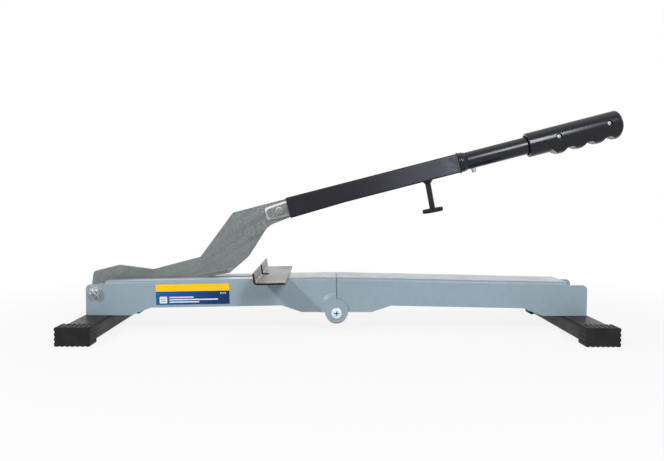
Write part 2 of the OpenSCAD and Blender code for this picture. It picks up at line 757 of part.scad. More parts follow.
// Stop post and its pad, upright with the lever closed
pad_low = top_at(pivot_x + stop_x - pad_r) - pivot_z + pad_gap;
socket_depth = 2.4;
module stop_post() {
    post_low = pad_low + pad_t - socket_depth + eps;
    under = arm_pt(stop_x, -arm_w / 2)[1];
    color(black) lever() difference() {
        translate([stop_x, 0, post_low]) {
            cylinder(r = stop_r, h = under - post_low + 3);
            translate([0, 0, under - post_low - 4]) cylinder(r1 = stop_r, r2 = stop_r + 3, h = 4);
            translate([0, 0, under - post_low]) cylinder(r = stop_r + 3, h = 3);
        }
        rotate([0, -arm_slope, 0]) translate([arm_start, -arm_w, arm_lift - arm_w / 2])
            cube([arm_end - arm_start, 2 * arm_w, arm_w]);
    }
}
module stop_pad() {
    color(rubber) lever() translate([stop_x, 0, pad_low]) difference() {
        rotate_extrude() polygon(rounded([[0, 0, 0], [pad_r, 0, 1], [pad_r, pad_t, 1], [0, pad_t, 0]], 4));
        translate([0, 0, pad_t - socket_depth]) cylinder(r = stop_r + shank_fit, h = socket_depth + over);
    }
}

// Handle tube, which slides over the stub
module handle_tube() {
    color(black) arm() difference() {
        along_arm(tube_s) difference() {
            cylinder(r = handle_r, h = handle_len);
            translate([0, 0, -over]) cylinder(r = handle_r - handle_wall, h = handle_len + 2 * over);
        }
        translate([tube_s + button_s, 0, -handle_r - over])
            cylinder(r = button_r + 0.35, h = handle_wall + 2 * over);
        grip_screw_axes() y_rod(screw_r + hole_fit, -grip_r, grip_r);
    }
}

// Snap button on the moving leaf of a bent spring inside the stub
leaf_t = 0.8;
leaf_w = 8;
leaf_z = -stub_r + stub_wall + 1.6;
leaf_back = 7;
module snap_button() {
    low = -handle_r - button_h;
    color(steel) arm() translate([tube_s + button_s, 0, low]) rotate_extrude()
        polygon(rounded([[0, 0, 0], [button_r, 0, 1.8], [button_r, leaf_z - low, 0], [0, leaf_z - low, 0]]));
}
module button_leaf() {
    color(steel) arm() translate([tube_s + button_s - leaf_back, -leaf_w / 2, leaf_z])
        cube([leaf_len, leaf_w, leaf_t]);
}
module spring_leg() {
    // The spring's fixed leg, held against the top of the stub, and its bend behind the moving leaf
    room = stub_r - stub_wall;
    top = sqrt(room * room - leaf_w * leaf_w / 4);
    bend = 4;
    near = leaf_len + face_gap;
    far = near + bend + leaf_t;
    color(steel) arm() translate([tube_s + button_s - leaf_back, 0, 0])
        side_slab(-leaf_w / 2, leaf_w / 2) polygon(rounded([[2, top - leaf_t, 0],
            [far, top - leaf_t, bend], [far, leaf_z + leaf_t, bend], [near, leaf_z + leaf_t, 0],
            [near, leaf_z, 0], [far + leaf_t, leaf_z, bend + leaf_t],
            [far + leaf_t, top, bend + leaf_t], [2, top, 0]]));
}

// Grip: two half shells screwed together through the handle tube
ridge_low = grip_r + ridge_h;
ridge_top = grip_r - ridge_cut;
ridge_room = ridge_low + 0.3;   // the ridges end within this, seen from the end
ridge_in = grip_r - 1;          // half width at mid height, within the round body
nut_flats = 7;
head_r = 3.2;
recess_y = grip_r - 4;
module grip_screw_axes() {
    for (s = [screw_a, screw_b]) translate([grip_s + s, 0, screw_rise]) children();
}
function ridge_at(i) = grip_s + grip_len - ridge_end - i * ridge_pitch;
module grip_ridges() {
    far = grip_s + grip_len;
    last = ridge_at(ridge_n - 1) - ridge_w;
    intersection() {
        side_slab(-grip_r, grip_r) polygon(rounded([[far, 0, 0], [far, -ridge_low, 0],
            for (i = [0:ridge_n - 1]) each [if (i > 0) [ridge_at(i) + ridge_w, -ridge_top, ridge_bend],
                if (i > 0) [ridge_at(i) + ridge_tip, -ridge_low, ridge_bend],
                [ridge_at(i) - ridge_tip, -ridge_low, ridge_bend],
                [ridge_at(i) - ridge_w, -ridge_top, ridge_bend]],
            [last - grip_r, 0, 0]], 4));
        along_arm(grip_s) linear_extrude(grip_len) polygon(rounded([[0, -ridge_in, 0],
            [ridge_room, -ridge_side, ridge_corner], [ridge_room, ridge_side, ridge_corner],
            [0, ridge_in, 0]], 6));
        along_arm(grip_s) rotate_extrude() polygon(rounded([[0, 0, 0], [ridge_room, 0, 0],
            [ridge_room, grip_len, ridge_round], [0, grip_len, 0]], 8));
    }
}
module grip_body() {
    tube_in = handle_len - grip_start;
    difference() {
        union() {
            along_arm(grip_s) rotate_extrude() polygon(rounded([[0, 0, 0], [grip_r, 0, 1.2],
                [grip_r, grip_len, grip_round], [0, grip_len, 0]], 12));
            grip_ridges();
        }
        along_arm(grip_s - over) cylinder(r = handle_r + shank_fit, h = over + tube_in + 1);
        along_arm(grip_s - over) cylinder(r = handle_r + 2, h = over + 5);
        grip_screw_axes() {
            y_rod(screw_r + hole_fit, -grip_r - over, grip_r + over);
            y_rod(head_r + 0.7, -grip_r - over, -recess_y);
            translate([0, recess_y, 0]) rotate([-90, 0, 0]) hex(nut_flats + 0.4, grip_r);
        }
    }
}
module grip_half() {
    room = 2 * grip_r;
    intersection() {
        grip_body();
        translate([grip_s - over, -room, -room]) cube([grip_len + 2 * over, room - 0.1, 2 * room]);
    }
}
module front_grip_half() { color(black) arm() grip_half(); }
module rear_grip_half() {
    room = 2 * grip_r;
    color(black) arm() intersection() {
        grip_body();
        translate([grip_s - over, 0.1, -room]) cube([grip_len + 2 * over, room, 2 * room]);
    }
}
module grip_screws() {
    color(steel) arm() grip_screw_axes() {
        y_rod(screw_r, -recess_y, recess_y + 3.4);
        difference() {
            translate([0, -recess_y, 0]) rotate([90, 0, 0]) rotate_extrude() polygon(rounded(
                [[0, 0, 0], [head_r, 0, 0], [head_r, 2.4, 1.6], [0, 2.6, 0]]));
            translate([0, -recess_y - 2.6, 0]) rotate([90, 0, 0]) cross_recess(3.6, 1.2);
        }
    }
}
module grip_nuts() {
    color(steel) arm() grip_screw_axes() translate([0, recess_y, 0]) rotate([-90, 0, 0]) difference() {
        hex(nut_flats, 3);
        translate([0, 0, -over]) cylinder(r = screw_r + shank_fit, h = 3 + 2 * over);
    }
}

left_bed();
left_foot_bar();
left_front_foot_cap();
left_rear_foot_cap();
left_foot_rivets();
fence();
fence_nuts();
side_label();
hinge_screw();
hinge_spacer();
hinge_washer();
hinge_nut();
pivot_bolt();
pivot_washers();
pivot_spacers();
blade_washers();
pivot_nut();
right_bed();
right_foot_bar();
right_front_foot_cap();
right_rear_foot_cap();
right_foot_rivets();
blade();
front_doubler();
rear_doubler();
doubler_rivet();
handle_arm();
arm_collar();
handle_stub();
stop_post();
stop_pad();
handle_tube();
front_grip_half();
rear_grip_half();
grip_screws();
grip_nuts();
snap_button();
button_leaf();
spring_leg();
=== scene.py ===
import math

import bmesh
import bpy
from mathutils import Matrix, Vector


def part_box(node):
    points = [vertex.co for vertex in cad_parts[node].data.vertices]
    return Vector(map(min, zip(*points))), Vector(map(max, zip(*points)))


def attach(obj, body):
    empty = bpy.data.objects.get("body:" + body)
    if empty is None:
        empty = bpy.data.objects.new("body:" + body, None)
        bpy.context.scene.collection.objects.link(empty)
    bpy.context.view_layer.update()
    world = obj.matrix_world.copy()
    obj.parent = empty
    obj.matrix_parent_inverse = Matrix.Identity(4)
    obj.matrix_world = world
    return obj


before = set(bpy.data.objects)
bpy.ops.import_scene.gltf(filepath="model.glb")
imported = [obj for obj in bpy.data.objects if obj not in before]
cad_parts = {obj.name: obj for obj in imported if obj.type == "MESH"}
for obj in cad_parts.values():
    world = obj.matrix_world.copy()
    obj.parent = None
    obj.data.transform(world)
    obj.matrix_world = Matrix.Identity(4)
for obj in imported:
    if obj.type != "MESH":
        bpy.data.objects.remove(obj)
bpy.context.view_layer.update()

MM = 0.001
AXIS_X = (1.0, 0.0, 0.0)
AXIS_Y = (0.0, 1.0, 0.0)
AXIS_Z = (0.0, 0.0, 1.0)

# Real places, in millimetres. The hinge line of the two halves lies at x = -ORIGIN_X, and z is height
ORIGIN_X = 23.87
PIVOT = Vector((-307.8 - ORIGIN_X, 0.0, 50.9))
LEVER_OPEN = math.radians(11.0)
ARM_SLOPE = math.radians(3.65)
ARM_LIFT = 43.3
WELD_AT = 495.9
CROWN = math.radians(1.08)
BED_TOP = 70.2
WALL_Y = 32.5
HINGE_Z = 24.5
HINGE_EAR_Y = 34.9
TILT = LEVER_OPEN + ARM_SLOPE
ALONG = Vector((math.cos(TILT), 0.0, math.sin(TILT)))
ACROSS = Vector((-math.sin(TILT), 0.0, math.cos(TILT)))
BLADE_UP = Vector((-math.sin(LEVER_OPEN), 0.0, math.cos(LEVER_OPEN)))
TOWARD_PIVOT = (-math.cos(CROWN), 0.0, -math.sin(CROWN))

# The row of teeth: its start from the hinge line towards the pivot, its pitch and its length
TOOTH_START = 95.525
TOOTH_PITCH = 3.05
TOOTH_ROW = 200.0

# The side label: its near end from the hinge line, its length, its drop under the bed's top, its
# thickness and the height of its yellow band. Then the thickness of the print on it
LABEL_NEAR = 137.7
LABEL_LEN = 93.8
LABEL_DROP = 5.3
LABEL_T = 0.25
BAND_H = 9.2
PRINT_T = 0.03
ICON_LINE_T = 0.05

# Lock nuts: the thickness of the washer under each and the nut's height
PIVOT_WASHER_T, PIVOT_NUT_H = 1.4, 8.0
HINGE_WASHER_T, HINGE_NUT_H = 1.2, 6.0

# Masks in millimetres: where each is 0 and where it is full
SEAM_REACH, SEAM_HEIGHT = (0.75, 0.45), (46.0, 48.0)
SLOT_REACH, TOP_HEIGHT = (13.5, 13.0), (61.5, 62.0)
ROW_FRONT, ROW_REAR = (-18.0, -16.0), (-3.5, -4.0)
ROW_START, ROW_STOP = (-0.5, 0.5), (TOOTH_ROW + 1.0, TOOTH_ROW)
STRIP_REAR, STRIP_START, STRIP_FADE = (-3.0, -4.0), (-6.0, 2.0), (215.0, 140.0)
SHEEN_START, SHEEN_STOP = (340.0, 475.0), (497.0, 494.5)
SCUFF_START, SCUFF_STOP = (460.0, 484.0), (494.0, 487.0)
CROSS_DEPTH, CROSS_REACH = (0.45, 0.8), (3.5, 3.2)
BLADE_FADE, GROUND_EDGE = (45.0, -5.0), (-4.6, -5.2)
BAND_EDGE = (-0.12, 0.12)

# The same for a notch between two teeth, in shares of the pitch
NOTCH_START, NOTCH_STOP = (-0.06, 0.06), (0.60, 0.48)

# Finishes that several materials share
BLACK_TINT = (0.90, 0.92, 1.0)
ROLLING_TURN = -0.62
RIM_SLOPE = (0.985, 0.93)

# The range that nearly all of a noise lies in
NOISE_SPAN = (0.3, 0.7)

# Node counts and the sockets of a colour mix
BEVEL_SAMPLES = 4
TUBE_SIDES = 12
MIX_A, MIX_B, MIX_OUT = 6, 7, 2


def arm_point(s):
    """A point on the arm's centre line: s along it from the pivot."""
    return PIVOT + ALONG * s + ACROSS * ARM_LIFT


def top_point(u, y, z):
    """A point on the cutting half: u from the hinge line towards the pivot, z above its top."""
    x = u * math.cos(CROWN) + z * math.sin(CROWN)
    return Vector((-x - ORIGIN_X, y, BED_TOP - u * math.sin(CROWN) + z * math.cos(CROWN)))


def scaled(colour, factor):
    return tuple(factor * c for c in colour)


# Node helpers
class Shader:
    """A material under construction, with short calls for the nodes that it uses."""

    def __init__(self, name):
        self.mat = bpy.data.materials.new(name)
        self.mat.use_nodes = True
        self.tree = self.mat.node_tree
        self.bsdf = self.tree.nodes["Principled BSDF"]
        self.coords = self.node("ShaderNodeTexCoord").outputs["Object"]

    def node(self, kind, **values):
        n = self.tree.nodes.new(kind)
        for key, value in values.items():
            setattr(n, key, value)
        return n

    def feed(self, value, socket):
        """Give a socket a link, a colour or a plain value."""
        if isinstance(value, bpy.types.NodeSocket):
            self.tree.links.new(value, socket)
        elif socket.type == "RGBA":
            socket.default_value = (*value, 1.0)
        else:
            socket.default_value = value

    def set(self, **values):
        for key, value in values.items():
            self.feed(value, self.bsdf.inputs[key.replace("_", " ")])

    def stretched(self, scale, turn=0.0):
        """Coordinates turned about Y and then drawn out along each axis."""
        n = self.node("ShaderNodeMapping", vector_type="TEXTURE")
        self.feed((0.0, turn, 0.0), n.inputs["Rotation"])
        self.feed(scale, n.inputs["Scale"])
        self.feed(self.coords, n.inputs["Vector"])
        return n.outputs["Vector"]

    def noise(self, scale, detail=3.0, rough=0.5, vector=None, distortion=0.0):
        n = self.node("ShaderNodeTexNoise")
        self.feed(scale, n.inputs["Scale"])
        self.feed(detail, n.inputs["Detail"])
        self.feed(rough, n.inputs["Roughness"])
        self.feed(distortion, n.inputs["Distortion"])
        self.feed(vector or self.coords, n.inputs["Vector"])
        return n.outputs["Fac"]

    def spread(self, value, low, high, out_low=0.0, out_high=1.0):
        """A soft step from out_low, where the value is low, to out_high, where it is high."""
        n = self.node("ShaderNodeMapRange", interpolation_type="SMOOTHSTEP")
        self.feed(low, n.inputs["From Min"])
        self.feed(high, n.inputs["From Max"])
        self.feed(out_low, n.inputs["To Min"])
        self.feed(out_high, n.inputs["To Max"])
        self.feed(value, n.inputs["Value"])
        return n.outputs["Result"]

    def math(self, kind, a, b=0.0):
        n = self.node("ShaderNodeMath", operation=kind)
        self.feed(a, n.inputs[0])
        self.feed(b, n.inputs[1])
        return n.outputs["Value"]

    def times(self, first, *others):
        """The product of masks and plain factors."""
        for other in others:
            first = self.math("MULTIPLY", first, other)
        return first

    def dot(self, a, b):
        n = self.node("ShaderNodeVectorMath", operation="DOT_PRODUCT")
        self.feed(a, n.inputs[0])
        self.feed(b, n.inputs[1])
        return n.outputs["Value"]

    def along(self, direction, offset=0.0):
        """Distance of the shaded point along a direction, in millimetres."""
        return self.math("SUBTRACT", self.times(self.dot(self.coords, direction), 1.0 / MM), offset)

    def facing(self, axis):
        """How far the surface faces an axis of the object."""
        return self.dot(self.node("ShaderNodeTexCoord").outputs["Normal"], axis)

    def sideways(self):
        """How far the surface faces the front or the back."""
        return self.math("ABSOLUTE", self.facing(AXIS_Y))

    def mix(self, fac, a, b):
        n = self.node("ShaderNodeMix", data_type="RGBA")
        self.feed(fac, n.inputs["Factor"])
        self.feed(a, n.inputs[MIX_A])
        self.feed(b, n.inputs[MIX_B])
        return n.outputs[MIX_OUT]

    def bevelled(self, radius_mm):
        """The surface's normal, turned near an edge as if a small radius rounded it."""
        n = self.node("ShaderNodeBevel")
        n.samples = BEVEL_SAMPLES
        self.feed(radius_mm * MM, n.inputs["Radius"])
        return n.outputs["Normal"]

    def edges(self, radius_mm):
        """A mask that is 1 along the edges of a piece and 0 on its faces."""
        flat = self.node("ShaderNodeNewGeometry").outputs["Normal"]
        return self.spread(self.dot(self.bevelled(radius_mm), flat), 0.995, 0.8)

    def relief(self, height, strength, distance_mm, soft_mm=0.0):
        """Bump from a height, over edges softened by a small radius. Returns the finished material."""
        n = self.node("ShaderNodeBump")
        self.feed(strength, n.inputs["Strength"])
        self.feed(distance_mm * MM, n.inputs["Distance"])
        self.feed(height, n.inputs["Height"])
        if soft_mm:
            self.feed(self.bevelled(soft_mm), n.inputs["Normal"])
        self.feed(n.outputs["Normal"], self.bsdf.inputs["Normal"])
        return self.mat


# Materials
def bed_paint():
    s = Shader("bed_powder_coat")
    x_mm, y_mm, z_mm = s.along(AXIS_X, -ORIGIN_X), s.along(AXIS_Y), s.along(AXIS_Z)
    up = s.facing(AXIS_Z)
    cloud, fleck, mottle = s.noise(9.0, 2.0), s.noise(900.0, 2.0), s.noise(110.0, 3.0, 0.6)
    tone = s.mix(s.spread(cloud, *NOISE_SPAN), (0.264, 0.342, 0.395), (0.284, 0.369, 0.427))
    tone = s.mix(s.spread(mottle, 0.42, 0.68, 0.0, 0.30), tone, (0.235, 0.312, 0.366))
    tone = s.mix(s.spread(fleck, 0.62, 0.8, 0.0, 0.12), tone, (0.36, 0.44, 0.50))
    # Painted sheen: the faces turned up are painted paler and greyer, for light that reflects off the top.
    # The same mask makes them a little rougher, where the boards slide over them
    upward = s.spread(up, 0.9, 0.99)
    rubbed_and_sheen = s.times(upward, s.spread(s.noise(14.0, 3.0), 0.25, 0.7, 0.55, 0.9))
    tone = s.mix(rubbed_and_sheen, tone, (0.330, 0.372, 0.400))
    worn = s.times(s.edges(0.5), s.spread(s.noise(130.0, 4.0), 0.35, 0.65, 0.2, 0.6))
    tone = s.mix(worn, tone, (0.45, 0.53, 0.58))
    # Painted shade: a dark line along the seam between the two halves, for the shadow down in the gap
    seam = s.times(s.spread(s.math("ABSOLUTE", x_mm), *SEAM_REACH), s.spread(z_mm, *SEAM_HEIGHT))
    tone = s.mix(s.times(seam, 0.75), tone, (0.085, 0.105, 0.125))
    # Cut edges of the slot and its teeth, with little paint and with dust in them, made near black: this
    # also paints in the shade down in the slot
    on_top = s.spread(z_mm, *TOP_HEIGHT)
    slot = s.times(s.spread(s.math("ABSOLUTE", y_mm), *SLOT_REACH), s.spread(up, 0.7, 0.4), on_top)
    tone = s.mix(s.times(slot, 0.85), tone, (0.030, 0.033, 0.035))
    # The strip before the slot is painted palest: a painted reflection, for the bright sheen of the top
    # there
    u = s.along(TOWARD_PIVOT, ORIGIN_X * math.cos(CROWN) - BED_TOP * math.sin(CROWN) + TOOTH_START)
    strip = s.times(s.spread(y_mm, *STRIP_REAR), s.spread(u, *STRIP_FADE, 0.0, 0.9), upward,
                    s.spread(u, *STRIP_START))
    tone = s.mix(strip, tone, (0.74, 0.81, 0.84))
    # Painted shade: a near-black mark on the top at each notch between the teeth, for the dark seen down
    # through the notches
    place = s.math("FRACT", s.math("DIVIDE", u, TOOTH_PITCH))
    notch = s.times(s.spread(place, *NOTCH_START), s.spread(place, *NOTCH_STOP))
    row = s.times(s.spread(y_mm, *ROW_FRONT), s.spread(y_mm, *ROW_REAR),
                  s.spread(u, *ROW_START), s.spread(u, *ROW_STOP), on_top)
    tone = s.mix(s.times(row, notch, 0.97), tone, (0.012, 0.013, 0.014))
    rough = s.math("ADD", s.spread(s.noise(60.0, 3.0), *NOISE_SPAN, 0.32, 0.40), s.times(rubbed_and_sheen, 0.06))
    s.set(Base_Color=tone, Roughness=rough, Specular_IOR_Level=0.36)
    return s.relief(s.noise(700.0, 2.0), strength=0.05, distance_mm=0.25, soft_mm=0.6)


def black_paint(name, base, rough, shine, peel=0.03, soft_mm=0.35, sheen_and_scuff=False):
    s = Shader(name)
    light = tuple(c + 0.003 for c in scaled(base, 1.4))
    tone = s.mix(s.spread(s.noise(1100.0, 2.0), 0.45, 0.75), base, light)
    gloss = s.spread(s.noise(45.0, 3.0), *NOISE_SPAN, rough - 0.03, rough + 0.04)
    if sheen_and_scuff:
        # The arm's front face: a painted sheen that grows towards the arm's end, for the light it catches
        # there, and a thin coat with scuffing beside the weld
        front = s.spread(s.sideways(), 0.9, 0.99)
        s_mm = s.along(ALONG, PIVOT.dot(ALONG))
        painted_sheen = s.times(s.spread(s_mm, *SHEEN_START, 0.0, 0.62), s.spread(s_mm, *SHEEN_STOP), front)
        tone = s.mix(painted_sheen, tone, (0.085, 0.085, 0.110))
        near = s.times(s.spread(s_mm, *SCUFF_START), s.spread(s_mm, *SCUFF_STOP))
        cloud = s.spread(s.noise(85.0, 3.0, 0.55, distortion=0.4), 0.36, 0.62, 0.0, 0.30)
        scuff = s.times(near, cloud, front)
        tone = s.mix(scuff, tone, (0.215, 0.222, 0.270))
        gloss = s.math("SUBTRACT", gloss, s.times(scuff, 0.08))
    worn = s.times(s.edges(0.3), s.spread(s.noise(160.0, 4.0), 0.5, 0.75, 0.0, 0.35))
    tone = s.mix(worn, tone, (0.09, 0.09, 0.095))
    s.set(Base_Color=tone, Roughness=gloss, Specular_IOR_Level=shine, Specular_Tint=BLACK_TINT)
    return s.relief(s.noise(900.0, 2.0), strength=peel, distance_mm=0.1, soft_mm=soft_mm)


def grip_plastic():
    s = Shader("grip_plastic")
    grain = s.noise(1500.0, 2.0)
    tone = s.mix(s.spread(s.noise(30.0, 2.0), *NOISE_SPAN), (0.003, 0.003, 0.005), (0.005, 0.005, 0.008))
    s.set(Base_Color=tone, Roughness=s.spread(grain, *NOISE_SPAN, 0.18, 0.21),
          Specular_IOR_Level=0.35, Specular_Tint=BLACK_TINT)
    return s.relief(grain, strength=0.006, distance_mm=0.03)


def foot_rubber():
    s = Shader("foot_rubber")
    tone = s.mix(s.spread(s.noise(60.0, 4.0), *NOISE_SPAN), (0.012, 0.011, 0.012), (0.020, 0.019, 0.020))
    dust = s.times(s.edges(0.6), s.spread(s.noise(220.0, 4.0), 0.4, 0.7, 0.05, 0.5))
    tone = s.mix(dust, tone, (0.115, 0.112, 0.108))
    s.set(Base_Color=tone, Roughness=s.spread(s.noise(300.0, 3.0), *NOISE_SPAN, 0.50, 0.64),
          Specular_IOR_Level=0.14)
    return s.relief(s.noise(650.0, 3.0), strength=0.15, distance_mm=0.3, soft_mm=0.5)


def bright_zinc(name, base, rough, dull=0.80, rim_highlight=None, recess=None):
    s = Shader(name)
    tone = s.mix(s.spread(s.noise(420.0, 3.0), 0.36, 0.64), scaled(base, dull), base)
    tone = s.mix(s.edges(0.3), tone, tuple(min(0.95, c) for c in scaled(base, 1.6)))
    if recess:
        # Shade and grime down in the driver's cross, from the screw's front face and its axis
        front, x, z = recess
        dx, dz = s.along(AXIS_X, x), s.along(AXIS_Z, z)
        reach = s.math("SQRT", s.math("ADD", s.times(dx, dx), s.times(dz, dz)))
        deep = s.times(s.spread(s.along(AXIS_Y, front), *CROSS_DEPTH), s.spread(reach, *CROSS_REACH))
        tone = s.mix(s.times(deep, 0.9), tone, (0.02, 0.021, 0.022))
    if rim_highlight:
        # Painted highlight: the slope round a rivet's head is painted bright, for the light that it catches
        tone = s.mix(s.spread(s.sideways(), *RIM_SLOPE), tone, rim_highlight)
    s.set(Base_Color=tone, Metallic=0.85,
          Roughness=s.spread(s.noise(800.0, 3.0), *NOISE_SPAN, rough - 0.06, rough + 0.1))
    return s.relief(s.noise(1200.0, 2.0), strength=0.12, distance_mm=0.12, soft_mm=0.3)


def zinc_plate(name, dark, light, rim_highlight=None):
    """Dull zinc with a fine spangle, drawn out along the rolling direction."""
    s = Shader(name)
    rolled = s.stretched((1.9, 1.0, 1.0), ROLLING_TURN)
    cloud = s.noise(30.0, 3.0, 0.55, rolled, 0.3)
    streak = s.noise(75.0, 3.0, 0.6, s.stretched((10.0, 1.0, 1.0), ROLLING_TURN))
    grain = s.noise(620.0, 3.0, 0.62, rolled)
    fine = s.noise(900.0, 3.0, 0.6)
    tone = s.mix(s.spread(cloud, *NOISE_SPAN, 0.25, 0.75), dark, light)
    tone = s.mix(s.spread(streak, 0.40, 0.62, 0.0, 0.5), tone, scaled(light, 1.35))
    tone = s.mix(s.spread(streak, 0.52, 0.34, 0.0, 0.5), tone, scaled(dark, 0.72))
    tone = s.mix(s.spread(grain, 0.46, 0.66, 0.0, 0.42), tone, scaled(light, 1.6))
    tone = s.mix(s.spread(grain, 0.50, 0.32, 0.0, 0.40), tone, scaled(dark, 0.62))
    tone = s.mix(s.spread(fine, 0.5, 0.72, 0.0, 0.35), tone, scaled(dark, 0.62))
    rough = s.spread(grain, *NOISE_SPAN, 0.36, 0.48)
    metallic = 0.75
    if rim_highlight:
        # Painted highlight: a doubler's pressed-over rim is painted bright, for the light that it catches,
        # and is also smoother and less metallic
        slope = s.spread(s.sideways(), *RIM_SLOPE)
        tone = s.mix(s.times(slope, s.spread(grain, 0.25, 0.7, 0.8, 1.0)), tone, rim_highlight)
        rough = s.math("SUBTRACT", rough, s.times(slope, 0.14))
        metallic = s.math("SUBTRACT", metallic, s.times(slope, 0.35))
    else:
        # The blade, paler towards its ground shearing edge
        depth = s.along(BLADE_UP, PIVOT.dot(BLADE_UP))
        tone = s.mix(s.spread(depth, *BLADE_FADE, 0.0, 0.45), tone, scaled(light, 1.45))
        ground = s.times(s.spread(depth, *GROUND_EDGE), s.spread(s.facing((0.0, -1.0, 0.0)), 0.3, 0.95))
        lines = s.noise(260.0, 2.0, 0.5, s.stretched((0.07, 1.0, 2.0)))
        tone = s.mix(s.times(ground, s.spread(lines, *NOISE_SPAN, 0.15, 0.4)), tone, (0.40, 0.43, 0.44))
    tone = s.mix(s.times(s.edges(0.3), 0.5), tone, (0.60, 0.63, 0.62))
    s.set(Base_Color=tone, Roughness=rough, Metallic=metallic)
    return s.relief(grain, strength=0.05, distance_mm=0.2, soft_mm=0.4)


def fence_steel():
    s = Shader("fence_steel")
    cloud = s.noise(26.0, 4.0, 0.55, s.stretched((1.0, 2.5, 1.0)))
    fine = s.noise(600.0, 3.0, 0.6, s.stretched((1.0, 4.0, 1.0)))
    stain = s.noise(200.0, 4.0, 0.6, s.stretched((1.0, 3.0, 1.0)))
    tone = s.mix(s.spread(cloud, *NOISE_SPAN), (0.165, 0.159, 0.150), (0.228, 0.221, 0.211))
    tone = s.mix(s.spread(fine, 0.4, 0.75, 0.0, 0.3), tone, (0.27, 0.263, 0.252))
    tone = s.mix(s.spread(stain, 0.48, 0.66, 0.0, 0.7), tone, (0.105, 0.100, 0.093))
    # Painted shade: the flange that lies flat is painted darker on its faces turned up, to hold down the
    # light that falls on it from above
    flange_top_shade = s.spread(s.facing(AXIS_Z), 0.8, 0.98, 0.0, 0.38)
    tone = s.mix(flange_top_shade, tone, (0.100, 0.097, 0.091))
    # The cut ends, which face front and back, are made nearly black and less metallic
    cut = s.spread(s.sideways(), 0.9, 0.97)
    scale = s.mix(s.spread(s.noise(240.0, 4.0), 0.35, 0.7), (0.003, 0.003, 0.0035), (0.016, 0.015, 0.0145))
    tone = s.mix(cut, tone, scale)
    s.set(Base_Color=tone, Metallic=s.math("SUBTRACT", 0.55, s.times(cut, 0.5)),
          Roughness=s.spread(cloud, *NOISE_SPAN, 0.40, 0.50), Specular_IOR_Level=0.15)
    return s.relief(fine, strength=0.08, distance_mm=0.2, soft_mm=0.25)


def label_film():
    """The label: a yellow band over blue, which is darkest at the end near the hinge."""
    s = Shader("label_film")
    x = s.math("SUBTRACT", s.along(TOWARD_PIVOT), ORIGIN_X + LABEL_NEAR)
    blue = s.mix(s.spread(x, 0.0, LABEL_LEN), (0.004, 0.017, 0.075), (0.003, 0.100, 0.400))
    blue = s.mix(s.spread(s.noise(14.0, 2.0), *NOISE_SPAN, 0.0, 0.12), blue, (0.006, 0.11, 0.43))
    yellow = s.mix(s.spread(s.noise(20.0, 2.0), *NOISE_SPAN), (0.93, 0.56, 0.006), (0.96, 0.60, 0.010))
    band_foot = (BED_TOP - LABEL_DROP - BAND_H) * math.cos(CROWN) + ORIGIN_X * math.sin(CROWN)
    z = s.math("SUBTRACT", s.along((-math.sin(CROWN), 0.0, math.cos(CROWN))), band_foot)
    s.set(Base_Color=s.mix(s.spread(z, *BAND_EDGE), blue, yellow),
          Roughness=s.spread(s.noise(90.0, 2.0), *NOISE_SPAN, 0.30, 0.38), Specular_IOR_Level=0.22)
    return s.relief(s.noise(260.0, 2.0), strength=0.03, distance_mm=0.1)


def print_white():
    s = Shader("print_white")
    tone = s.mix(s.spread(s.noise(700.0, 2.0), *NOISE_SPAN), (0.72, 0.74, 0.76), (0.84, 0.85, 0.86))
    s.set(Base_Color=tone, Roughness=s.spread(s.noise(90.0, 2.0), *NOISE_SPAN, 0.28, 0.36))
    return s.relief(s.noise(500.0, 2.0), strength=0.05, distance_mm=0.05)


def nylon(name, low, high):
    s = Shader(name)
    tone = s.mix(s.spread(s.noise(300.0, 3.0), *NOISE_SPAN), low, high)
    s.set(Base_Color=tone, Roughness=s.spread(s.noise(500.0, 2.0), *NOISE_SPAN, 0.40, 0.5))
    return s.relief(s.noise(900.0, 2.0), strength=0.1, distance_mm=0.1, soft_mm=0.2)


screw_low, screw_high = (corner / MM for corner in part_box("hinge_screw"))
screw_axis = (screw_low + screw_high) / 2

PAINT = bed_paint()
# The arm: scuffing and a painted sheen on its face near its end
ARM_BLACK = black_paint("arm_powder_coat", (0.0105, 0.0100, 0.0140), rough=0.38, shine=0.22, sheen_and_scuff=True)
TUBE_BLACK = black_paint("tube_powder_coat", (0.0040, 0.0040, 0.0065), rough=0.22, shine=0.38,
                         peel=0.006, soft_mm=0.0)
BAR_BLACK = black_paint("bar_powder_coat", (0.023, 0.0175, 0.0180), rough=0.48, shine=0.12)
GRIP = grip_plastic()
RUBBER = foot_rubber()
ZINC = bright_zinc("bright_zinc", (0.44, 0.48, 0.495), rough=0.34)
SCREW = bright_zinc("screw_zinc", (0.74, 0.84, 0.88), rough=0.30,
                    recess=(screw_low.y, screw_axis.x, screw_axis.z))
RIVET = bright_zinc("rivet_zinc", (0.215, 0.250, 0.255), rough=0.38, rim_highlight=(0.86, 0.90, 0.89))
NUT_ZINC = bright_zinc("nut_zinc", (0.56, 0.61, 0.62), rough=0.22, dull=0.28)
BLADE = zinc_plate("blade_zinc", (0.132, 0.148, 0.147), (0.165, 0.182, 0.182))
DOUBLER = zinc_plate("doubler_zinc", (0.144, 0.136, 0.147), (0.184, 0.175, 0.187), rim_highlight=(0.78, 0.81, 0.80))
FENCE = fence_steel()
LABEL = label_film()
WHITE = print_white()
WASHER_GREY = nylon("washer_plastic", (0.27, 0.28, 0.26), (0.33, 0.34, 0.32))
LOCK_RING = nylon("lock_ring_plastic", (0.50, 0.52, 0.55), (0.62, 0.64, 0.67))

